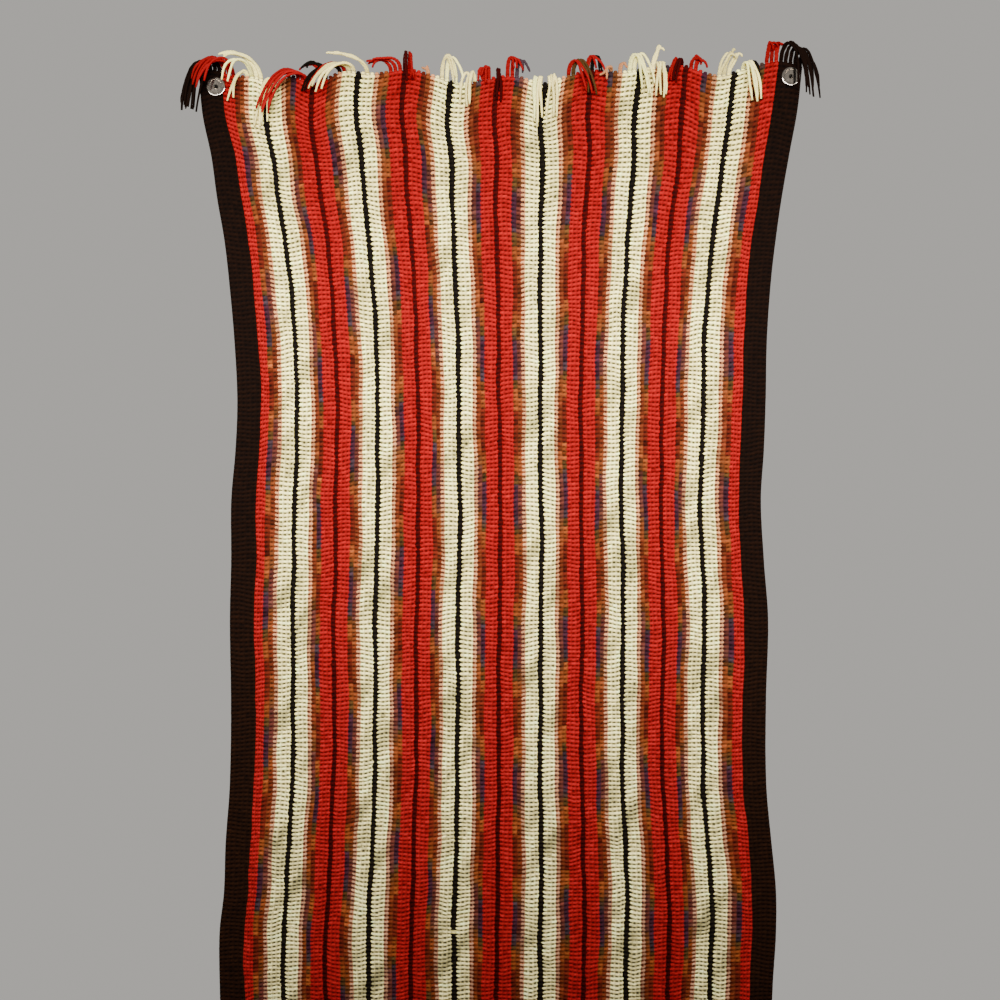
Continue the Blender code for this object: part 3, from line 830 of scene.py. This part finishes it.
def make_cloth(rng, colours, material):
    """The afghan's stitches, in panels of rows side by side."""
    row_at, stitch_at, heights = stitch_grid(rng)
    sheet = cloth_points(row_at, stitch_depth(stitch_at))
    normals = unit_normals(sheet)
    edge = np.zeros(sheet.shape[1])
    edge[[0, -1]] = EDGE_ROUNDING
    half = CLOTH_THICKNESS / 2
    ripples = ripple_depth(row_at, stitch_at)
    front = sheet + normals * (half + heights + ripples - edge[None, :])[..., None]
    rows, stitches = np.meshgrid(np.arange(ROW_COUNT + 1.0), np.arange(STITCH_COUNT + 1.0))
    back = cloth_points(rows + row_drift(rows, stitches), stitch_depth(stitches))
    back_normals = unit_normals(back)
    back_edge = np.zeros(ROW_COUNT + 1)
    back_edge[[0, -1]] = EDGE_ROUNDING / 2
    back = back - back_normals * (half - BACK_BUMP - back_edge)[None, :, None]
    rows, stitches = np.meshgrid(np.arange(ROW_COUNT) + 0.5, np.arange(STITCH_COUNT) + 0.5)
    bumps = cloth_points(rows + row_drift(rows, stitches), stitch_depth(stitches))
    bumps = bumps - unit_normals(bumps) * half
    grid = (front, back, bumps, heights)
    panels = []
    for index, (first, last) in enumerate(zip(PANEL_ROWS, PANEL_ROWS[1:])):
        panels.append(make_panel(index, first, last, grid, colours, material))
    return panels


def bezier(points, t):
    """Points on a cubic curve."""
    a, b, c, d = points
    t = np.asarray(t)[:, None]
    return a * (1 - t) ** 3 + b * 3 * t * (1 - t) ** 2 + c * 3 * t**2 * (1 - t) + d * t**3


def yarn_tube(path, radius, phase):
    """Points and quads of a two-ply yarn along a path."""
    headings = np.gradient(path, axis=0)
    headings /= np.linalg.norm(headings, axis=1, keepdims=True)
    lengths = np.concatenate([[0.0], np.cumsum(np.linalg.norm(np.diff(path, axis=0), axis=1))])
    side = np.cross(headings[0], SIDE_HINT)
    side /= np.linalg.norm(side)
    angles = 2 * math.pi * np.arange(YARN_SIDES) / YARN_SIDES
    rings = []
    for centre, heading, length in zip(path, headings, lengths):
        side = side - heading * np.dot(side, heading)
        side /= np.linalg.norm(side)
        up = np.cross(heading, side)
        turn = 2 * math.pi * length / PLY_TWIST + phase
        share = length / lengths[-1]
        thickness = radius * (1.0 - TIP_TAPER * share**TIP_TAPER_POWER)
        reach = thickness * (1.0 + PLY_DEPTH * np.cos(2 * angles - 2 * turn))
        ring = centre + reach[:, None] * (np.cos(angles)[:, None] * side + np.sin(angles)[:, None] * up)
        rings.append(ring)
    points = np.concatenate(rings)
    ids = np.arange(len(points)).reshape(len(path), YARN_SIDES)
    ahead = np.roll(ids, -1, axis=1)
    quads = np.stack([ids[:-1], ahead[:-1], ahead[1:], ids[1:]], axis=-1).reshape(-1, 4)
    caps = []
    for ring, turned in ((ids[0], True), (ids[-1], False)):
        for k in range(1, YARN_SIDES - 1):
            cap = (ring[0], ring[k], ring[k + 1])
            caps.append(cap[::-1] if turned else cap)
    return points, quads, np.array(caps)


def lock_routes():
    """Curve of every lock of the top fringe, as the solids have it, by its row."""
    routes = {}
    for tuft in TUFTS:
        for i in range(tuft.locks):
            order = i if tuft.lean < 0 else tuft.locks - 1 - i
            base = cloth_points(np.array([tuft.row + i + 0.5]), np.array([0.0]))[0]
            base = base + np.array([0.0, 0.0, PIECE_GAP + STRIP_HEIGHT / 2])
            forward = np.array([0.0, -tuft.front - LOCK_LAYER * order, 0.0])
            arch = np.array([0.0, 0.0, tuft.rise * ARCH_CONTROL])
            side = np.array([tuft.lean, 0.0, 0.0])
            high = np.array([0.0, 0.0, max(tuft.rise, -tuft.drop) * ARCH_CONTROL])
            fall = np.array([0.0, 0.0, -tuft.drop])
            out = base + forward
            over = out + side * SIDE_CONTROL + high
            routes[tuft.row + i] = np.array([base, out + arch, over, out + side + fall])
    return routes


def hem_routes():
    """Curve of every lock of the bottom fringe, as the solids have it, by its row."""
    routes = {}
    for row in range(0, ROW_COUNT, BOTTOM_LOCK_EVERY):
        base = cloth_points(np.array([row + 0.5]), np.array([CLOTH_LENGTH]))[0]
        base = base - np.array([0.0, 0.0, PIECE_GAP + STRIP_HEIGHT / 2])
        length = BOTTOM_LENGTH + BOTTOM_LENGTH_VARIES * math.sin(row * LENGTH_TURN)
        sway = np.array([math.sin(row * SWAY_TURN), math.sin(row * LIFT_TURN), 0.0]) * BOTTOM_SWAY
        fall = np.array([0.0, 0.0, -length])
        routes[row] = np.array([base, base + fall / 3, base + fall * 2 / 3 + sway / 2, base + fall + sway])
    return routes


def knot(centre, size):
    """Points, quads and triangles of a small round knot."""
    sides, bands = KNOT_SIDES, KNOT_BANDS
    points = [centre + np.array([0.0, 0.0, size[2]])]
    for band in range(1, bands):
        polar = math.pi * band / bands
        for k in range(sides):
            angle = 2 * math.pi * k / sides
            ring = (math.sin(polar) * math.cos(angle), math.sin(polar) * math.sin(angle), math.cos(polar))
            points.append(centre + np.array(ring) * size)
    points.append(centre - np.array([0.0, 0.0, size[2]]))
    quads, caps = [], []
    for k in range(sides):
        ahead = (k + 1) % sides
        caps.append((0, 1 + k, 1 + ahead))
        last = 1 + (bands - 2) * sides
        caps.append((len(points) - 1, last + ahead, last + k))
        for band in range(bands - 2):
            low = 1 + band * sides
            quads.append((low + k, low + sides + k, low + sides + ahead, low + ahead))
    return np.array(points), np.array(quads), np.array(caps)


def make_fringe(name, routes, down, rings, own_yarns, colours, rng, material):
    """Two yarn ends to a lock, and a knot at the end of every row."""
    points, quads, triangles, quad_tints, triangle_tints = [], [], [], [], []
    count = 0
    end = 0 if down == 0.0 else STITCH_COUNT - 1
    side = 1.0 if down == 0.0 else -1.0
    # Painted shade darkens the top fringe's ends
    end_painted_shade = TOP_END_PAINTED_SHADE if down == 0.0 else 1.0

    def add(part_points, part_quads, part_triangles, colour):
        nonlocal count
        points.append(part_points)
        quads.append(part_quads + count)
        triangles.append(part_triangles + count)
        quad_tints.append(np.tile(colour, (len(part_quads), 1)))
        triangle_tints.append(np.tile(colour, (len(part_triangles), 1)))
        count += len(part_points)

    for row in range(ROW_COUNT):
        colour = colours[0][row, end]
        centre = cloth_points(np.array([row + 0.5]), np.array([down]))[0]
        centre = centre + np.array([0.0, 0.0, side * (PIECE_GAP + KNOT_RISE)])
        add(*knot(centre, np.array(KNOT_SIZE)), colour)
    for row, route in routes.items():
        for strand in (-1, 1):
            own = route + np.array([END_HALF_GAP * strand, 0.0, 0.0])
            own[2:] += rng.standard_normal((2, 3)) * END_SPREAD
            own[3] += np.array([TIP_HALF_GAP * strand, 0.0, 0.0])
            share = np.linspace(0.0, 1.0, rings)
            path = bezier(own, share * (END_REACH - END_TRIM * rng.random()))
            turns = share[:, None] * CURL_TURNS + rng.random(3)
            curl = np.sin(2 * math.pi * turns) - np.sin(2 * math.pi * turns[0])
            path = path + CURL_HEIGHT * share[:, None] * np.array(CURL_SHARES) * curl
            tube = yarn_tube(path, YARN_RADIUS, rng.random() * 2 * math.pi)
            colour = YARNS[own_yarns[row]] if row in own_yarns else colours[0][row, end]
            tone = end_painted_shade * (1.0 + END_TONE_JITTER * rng.standard_normal())
            add(*tube, np.array(colour) * tone)
    obj = new_mesh(name, np.concatenate(points), np.concatenate(quads), np.concatenate(triangles), material)
    set_tint(obj, np.clip(np.concatenate(quad_tints + triangle_tints), 0.0, 1.0))
    set_pile(obj, np.full(count, YARN_PILE))
    return obj


def yarn_material():
    """Matte twisted yarn, coloured by each face's tint, with painted shade down in the gaps."""
    material = bpy.data.materials.new("crochet_yarn")
    material.use_nodes = True
    nodes, links = material.node_tree.nodes, material.node_tree.links
    shader = nodes["Principled BSDF"]
    shader.inputs["Roughness"].default_value = 0.88
    shader.inputs["Specular IOR Level"].default_value = 0.04
    shader.inputs["Sheen Weight"].default_value = 0.12
    shader.inputs["Sheen Roughness"].default_value = 0.5
    tint = nodes.new("ShaderNodeAttribute")
    tint.attribute_name = "tint"
    pile = nodes.new("ShaderNodeAttribute")
    pile.attribute_name = "pile"
    place = nodes.new("ShaderNodeTexCoord")
    fibres = nodes.new("ShaderNodeTexNoise")
    fibres.inputs["Scale"].default_value = 420.0
    fibres.inputs["Detail"].default_value = 3.0
    links.new(place.outputs["Object"], fibres.inputs["Vector"])
    # Painted shade: the lower a point lies in its stitch, the darker its colour
    shade = nodes.new("ShaderNodeMapRange")
    shade.inputs["To Min"].default_value = 0.06
    shade.inputs["To Max"].default_value = 1.0
    shade.interpolation_type = "SMOOTHSTEP"
    links.new(pile.outputs["Fac"], shade.inputs["Value"])
    fleck = nodes.new("ShaderNodeMapRange")
    fleck.inputs["From Min"].default_value = 0.3
    fleck.inputs["From Max"].default_value = 0.7
    fleck.inputs["To Min"].default_value = 0.78
    fleck.inputs["To Max"].default_value = 1.14
    links.new(fibres.outputs["Fac"], fleck.inputs["Value"])
    factor = nodes.new("ShaderNodeMath")
    factor.operation = "MULTIPLY"
    links.new(shade.outputs["Result"], factor.inputs[0])
    links.new(fleck.outputs["Result"], factor.inputs[1])
    colour = nodes.new("ShaderNodeVectorMath")
    colour.operation = "SCALE"
    links.new(tint.outputs["Color"], colour.inputs[0])
    links.new(factor.outputs["Value"], colour.inputs["Scale"])
    links.new(colour.outputs["Vector"], shader.inputs["Base Color"])
    links.new(tint.outputs["Color"], shader.inputs["Sheen Tint"])
    turn = nodes.new("ShaderNodeMapping")
    turn.inputs["Rotation"].default_value = (0.0, math.radians(38.0), 0.0)
    links.new(place.outputs["Object"], turn.inputs["Vector"])
    twist = nodes.new("ShaderNodeTexWave")
    twist.bands_direction = "X"
    twist.inputs["Scale"].default_value = 140.0
    twist.inputs["Distortion"].default_value = 2.0
    twist.inputs["Detail"].default_value = 2.0
    links.new(turn.outputs["Vector"], twist.inputs["Vector"])
    mix = nodes.new("ShaderNodeMath")
    mix.operation = "MULTIPLY_ADD"
    mix.inputs[1].default_value = 0.5
    links.new(fibres.outputs["Fac"], mix.inputs[0])
    links.new(twist.outputs["Fac"], mix.inputs[2])
    bump = nodes.new("ShaderNodeBump")
    bump.inputs["Strength"].default_value = 0.5
    bump.inputs["Distance"].default_value = 0.0004
    links.new(mix.outputs["Value"], bump.inputs["Height"])
    links.new(bump.outputs["Normal"], shader.inputs["Normal"])
    return material


def steel_material():
    """Nickel-plated steel with fine scuffs, with painted shade down in the hole."""
    material = bpy.data.materials.new("plated_steel")
    material.use_nodes = True
    nodes, links = material.node_tree.nodes, material.node_tree.links
    shader = nodes["Principled BSDF"]
    shader.inputs["Metallic"].default_value = 1.0
    place = nodes.new("ShaderNodeTexCoord")
    scuffs = nodes.new("ShaderNodeTexNoise")
    scuffs.inputs["Scale"].default_value = 300.0
    scuffs.inputs["Detail"].default_value = 6.0
    links.new(place.outputs["Object"], scuffs.inputs["Vector"])
    rough = nodes.new("ShaderNodeMapRange")
    rough.inputs["To Min"].default_value = 0.05
    rough.inputs["To Max"].default_value = 0.12
    links.new(scuffs.outputs["Fac"], rough.inputs["Value"])
    links.new(rough.outputs["Result"], shader.inputs["Roughness"])
    tone = nodes.new("ShaderNodeValToRGB")
    tone.color_ramp.elements[0].color = (0.23, 0.20, 0.17, 1.0)
    tone.color_ramp.elements[1].color = (0.38, 0.34, 0.29, 1.0)
    links.new(scuffs.outputs["Fac"], tone.inputs["Fac"])
    radius = nodes.new("ShaderNodeVectorMath")
    radius.operation = "MULTIPLY"
    radius.inputs[1].default_value = (1.0, 1.0, 0.0)
    links.new(place.outputs["Object"], radius.inputs[0])
    length = nodes.new("ShaderNodeVectorMath")
    length.operation = "LENGTH"
    links.new(radius.outputs["Vector"], length.inputs[0])
    # Painted shade down in the hole
    hole = nodes.new("ShaderNodeMapRange")
    hole.inputs["From Min"].default_value = MAGNET_HOLE_RADIUS
    hole.inputs["From Max"].default_value = MAGNET_HOLE_RADIUS + 0.0006
    hole.inputs["To Min"].default_value = 0.08
    hole.inputs["To Max"].default_value = 1.0
    links.new(length.outputs["Value"], hole.inputs["Value"])
    colour = nodes.new("ShaderNodeVectorMath")
    colour.operation = "SCALE"
    links.new(tone.outputs["Color"], colour.inputs[0])
    links.new(hole.outputs["Result"], colour.inputs["Scale"])
    links.new(colour.outputs["Vector"], shader.inputs["Base Color"])
    return material


def make_magnet(magnet, material):
    """A round plated magnet: rim, ring groove, flat face and a small countersunk hole."""
    face = MAGNET_THICKNESS
    profile = [
        (0.0, face - 0.003),
        (MAGNET_HOLE_RADIUS, face - 0.003),
        (MAGNET_HOLE_RADIUS, face - 0.0012),
        (0.0040, face - 0.0001),
        (0.0105, face - 0.0001),
        (0.0108, face - 0.0005),
        (0.0118, face - 0.0005),
        (0.0121, face),
        (MAGNET_RADIUS - 0.0013, face),
        (MAGNET_RADIUS - 0.0009, face),
        (MAGNET_RADIUS - 0.0002, face - 0.0003),
        (MAGNET_RADIUS, face - 0.0009),
        (MAGNET_RADIUS, 0.0002),
        (MAGNET_RADIUS - 0.0002, 0.0),
        (0.0, 0.0),
    ]
    mesh = bpy.data.meshes.new(magnet.node + "_disc")
    edges = [(i, i + 1) for i in range(len(profile) - 1)]
    mesh.from_pydata([(radius, 0.0, height) for radius, height in profile], edges, [])
    mesh.materials.append(material)
    obj = bpy.data.objects.new(magnet.node + "_disc", mesh)
    bpy.context.scene.collection.objects.link(obj)
    screw = obj.modifiers.new("turned", "SCREW")
    screw.steps = 72
    screw.render_steps = 72
    screw.use_merge_vertices = True
    screw.merge_threshold = 0.00001
    sharp = obj.modifiers.new("edges", "EDGE_SPLIT")
    sharp.split_angle = math.radians(40.0)
    obj.location = (magnet.x, -(WALL_GAP + CLOTH_THICKNESS + PIECE_GAP), magnet.z)
    obj.rotation_euler = (math.radians(90.0), 0.0, 0.0)
    return obj


def make_floor():
    """A plain pale floor below the hanging cloth."""
    mesh = bpy.data.meshes.new("floor")
    mesh.from_pydata([(x, y, FLOOR_HEIGHT) for x, y in FLOOR_CORNERS], [], [(0, 1, 2, 3)])
    floor = bpy.data.objects.new("floor", mesh)
    bpy.context.scene.collection.objects.link(floor)
    material = bpy.data.materials.new("pale_floor")
    material.use_nodes = True
    shader = material.node_tree.nodes["Principled BSDF"]
    shader.inputs["Base Color"].default_value = (0.60, 0.59, 0.57, 1.0)
    shader.inputs["Roughness"].default_value = 0.9
    mesh.materials.append(material)


def make_light(lamp):
    """A soft light that points at its aim."""
    data = bpy.data.lights.new(lamp.name, "AREA")
    data.shape = "RECTANGLE"
    data.size, data.size_y = lamp.size
    data.spread = math.radians(lamp.spread_deg)
    data.energy = lamp.energy
    data.color = lamp.colour
    light = bpy.data.objects.new(lamp.name, data)
    bpy.context.scene.collection.objects.link(light)
    light.location = lamp.place
    direction = np.array(lamp.aim) - np.array(lamp.place)
    yaw = math.atan2(direction[1], direction[0])
    pitch = math.atan2(-direction[2], math.hypot(direction[0], direction[1]))
    light.rotation_euler = (math.radians(90.0) - pitch, 0.0, yaw - math.radians(90.0))


def make_studio():
    """Soft light from above the front, a fill from behind, and a pale surround."""
    world = bpy.data.worlds.new("studio")
    world.use_nodes = True
    background = world.node_tree.nodes["Background"]
    background.inputs["Color"].default_value = (0.90, 0.87, 0.82, 1.0)
    background.inputs["Strength"].default_value = 0.50
    bpy.context.scene.world = world
    for lamp in LIGHTS:
        make_light(lamp)


def make_camera():
    """The photograph's view."""
    data = bpy.data.cameras.new("camera")
    data.sensor_width = SENSOR
    data.lens = SENSOR * CAMERA_DISTANCE / VIEW_WIDTH
    camera = bpy.data.objects.new("camera", data)
    bpy.context.scene.collection.objects.link(camera)
    camera.location = (0.0, -CAMERA_DISTANCE, CAMERA_HEIGHT)
    camera.rotation_euler = (math.radians(90.0), 0.0, 0.0)
    bpy.context.scene.camera = camera


def main():
    """Dress the frame."""
    rng = np.random.default_rng(SEED)
    colours = stitch_colours(rng)
    yarn = yarn_material()
    panels = make_cloth(rng, colours, yarn)
    top = make_fringe("top_fringe_yarn", lock_routes(), 0.0, TOP_RINGS, END_YARNS, colours, rng, yarn)
    hem = make_fringe("hem_fringe_yarn", hem_routes(), CLOTH_LENGTH, BOTTOM_RINGS, {}, colours, rng, yarn)
    for panel in panels:
        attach(panel, "root")
        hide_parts("afghan")
    for fringe, node in ((top, "top_fringe"), (hem, "bottom_fringe")):
        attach(fringe, "root")
        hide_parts(node)
    steel = steel_material()
    for magnet in MAGNETS:
        disc = make_magnet(magnet, steel)
        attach(disc, "root")
        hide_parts(magnet.node)
    make_floor()
    make_studio()
    make_camera()


main()
